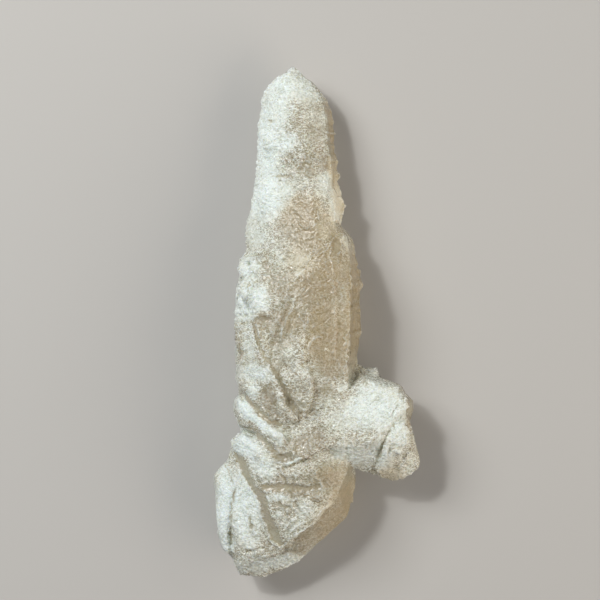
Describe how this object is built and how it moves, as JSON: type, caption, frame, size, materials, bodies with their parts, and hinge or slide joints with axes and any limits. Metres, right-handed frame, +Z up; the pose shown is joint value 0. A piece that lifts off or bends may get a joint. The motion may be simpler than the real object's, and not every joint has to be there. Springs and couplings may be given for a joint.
{
  "type": "quartz floater",
  "caption": "Milky quartz floater crystal cluster: a tapered frosted point with stepped sides, leaning plates, a wedge foot and a stout side crystal, lying on its back.",
  "frame": {"origin": "on the flat back that the stone rests on, under the middle of the main crystal", "axes": "+Y along the main crystal towards its point, +X towards the side crystal, +Z up from the back to the front faces"},
  "size_m": [0.0384, 0.0953, 0.0183],
  "materials": {
    "milky_quartz": "frosted, milky, translucent, with clearer smoky beige areas and fine sparkle"
  },
  "bodies": {
    "root": {"quartz_floater": "milky_quartz"}
  },
  "joints": []
}
